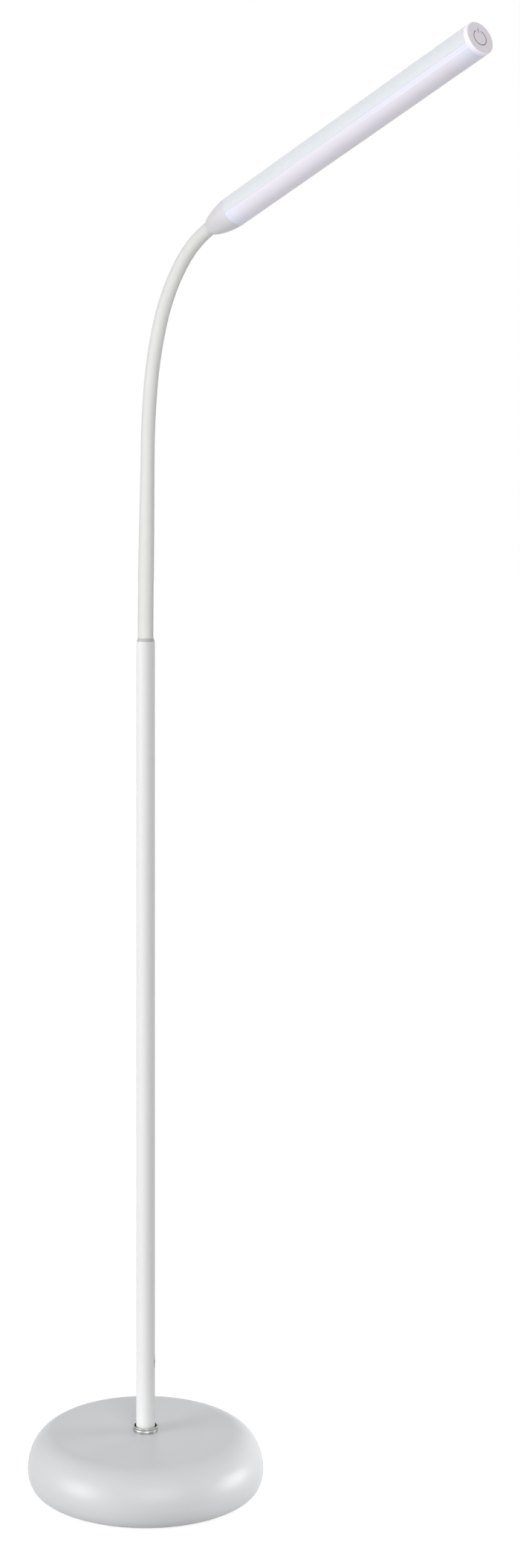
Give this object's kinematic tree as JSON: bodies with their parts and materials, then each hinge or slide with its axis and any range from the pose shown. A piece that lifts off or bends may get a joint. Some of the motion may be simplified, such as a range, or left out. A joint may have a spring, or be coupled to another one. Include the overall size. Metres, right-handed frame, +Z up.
{
  "type": "gooseneck reading floor lamp",
  "caption": "Floor lamp with a weighted round base, a straight pole, a bendable gooseneck and a slim tubular LED head with a touch switch in its end face.",
  "frame": {"origin": "centre of the anti-slip pad's underside, on the floor at the pole's axis", "axes": "+Z up along the pole; the neck leans towards +X and -Y, 52.4 degrees from +X, and the picture looks along +Y"},
  "size_m": [0.4139, 0.4962, 1.3909],
  "materials": {
    "base_cover": "satin moulded plastic, pale grey",
    "foam_pad": "closed-cell foam rubber",
    "zinc_sheet": "zinc-coated sheet steel",
    "cast_weight": "as cast, black primer",
    "zinc_fixings": "zinc-plated steel",
    "cup_chrome": "bright chrome plate",
    "pole_lacquer": "semi-gloss white lacquer",
    "bush_plastic": "grey moulded plastic",
    "inlet_plastic": "grey moulded plastic",
    "contact_metal": "tinned brass",
    "neck_skin": "satin soft vinyl, warm light grey",
    "wound_steel": "wound spring steel",
    "wire_skin": "white vinyl insulation",
    "socket_plastic": "satin moulded plastic",
    "casing_plastic": "gloss white moulded plastic",
    "opal_plastic": "frosted opal plastic",
    "cap_plastic": "satin moulded plastic",
    "touch_face": "satin plastic",
    "spreader_metal": "plain aluminium strip",
    "board": "white solder mask",
    "led": "yellow phosphor",
    "electronics": "moulded components"
  },
  "bodies": {
    "root": {"base_shell": "base_cover", "base_pad": "foam_pad", "base_plate": "zinc_sheet", "base_plate_screws": "zinc_fixings", "base_ballast": "cast_weight", "pole_bolt": "zinc_fixings", "bolt_washer": "zinc_fixings", "bolt_lock_washer": "zinc_fixings", "pole_cup": "cup_chrome", "pole_tube": "pole_lacquer", "pole_foot": "zinc_fixings", "pole_bush": "bush_plastic", "pole_lead": "wire_skin", "inlet_bezel": "inlet_plastic", "inlet_jack": "inlet_plastic", "inlet_pin": "contact_metal", "neck_lower_ferrule": "zinc_fixings", "neck_lower_nut": "zinc_fixings", "neck_sleeve_1": "neck_skin", "neck_hose_1": "wound_steel", "neck_lead_1": "wire_skin"},
    "neck_2": {"neck_sleeve_2": "neck_skin", "neck_hose_2": "wound_steel", "neck_lead_2": "wire_skin"},
    "neck_3": {"neck_sleeve_3": "neck_skin", "neck_hose_3": "wound_steel", "neck_lead_3": "wire_skin"},
    "neck_4": {"neck_sleeve_4": "neck_skin", "neck_hose_4": "wound_steel", "neck_lead_4": "wire_skin"},
    "neck_5": {"neck_sleeve_5": "neck_skin", "neck_hose_5": "wound_steel", "neck_lead_5": "wire_skin"},
    "neck_6": {"neck_sleeve_6": "neck_skin", "neck_hose_6": "wound_steel", "neck_lead_6": "wire_skin"},
    "head": {"head_socket": "socket_plastic", "neck_upper_ferrule": "zinc_fixings", "neck_upper_nut": "zinc_fixings", "head_casing": "casing_plastic", "head_diffuser": "opal_plastic", "end_cap": "cap_plastic", "touch_plate": "touch_face", "touch_electrode": "contact_metal", "touch_board": "board", "touch_leads": "wire_skin", "heat_spreader": "spreader_metal", "led_board": "board", "led_chips": "led", "terminal_block": "electronics", "driver_board": "board", "board_spacers": "electronics", "driver_parts": "electronics", "neck_sleeve_7": "neck_skin", "neck_hose_7": "wound_steel", "neck_lead_7": "wire_skin"}
  },
  "joints": [
    {"name": "neck_sway_1", "type": "hinge", "parent": "root", "child": "neck_2", "pos_m": [0.00043, -0.00056, 0.91279], "axis": [0.61, -0.7921, -0.0227], "range_deg": [-30, 30]},
    {"name": "neck_bend_2", "type": "hinge", "parent": "neck_2", "child": "neck_3", "pos_m": [0.0013, -0.00169, 0.97558], "axis": [0.7923, 0.6101, 0], "range_deg": [-30, 30]},
    {"name": "neck_sway_3", "type": "hinge", "parent": "neck_3", "child": "neck_4", "pos_m": [0.00217, -0.00282, 1.03836], "axis": [0.61, -0.7921, -0.0227], "range_deg": [-30, 30]},
    {"name": "neck_bend_4", "type": "hinge", "parent": "neck_4", "child": "neck_5", "pos_m": [0.00528, -0.00685, 1.10092], "axis": [0.7923, 0.6101, 0], "range_deg": [-30, 30]},
    {"name": "neck_sway_5", "type": "hinge", "parent": "neck_5", "child": "neck_6", "pos_m": [0.01456, -0.01891, 1.16173], "axis": [0.573, -0.744, -0.3437], "range_deg": [-30, 30]},
    {"name": "neck_bend_6", "type": "hinge", "parent": "neck_6", "child": "head", "pos_m": [0.0339, -0.04402, 1.21554], "axis": [0.7923, 0.6101, 0], "range_deg": [-30, 30]}
  ]
}
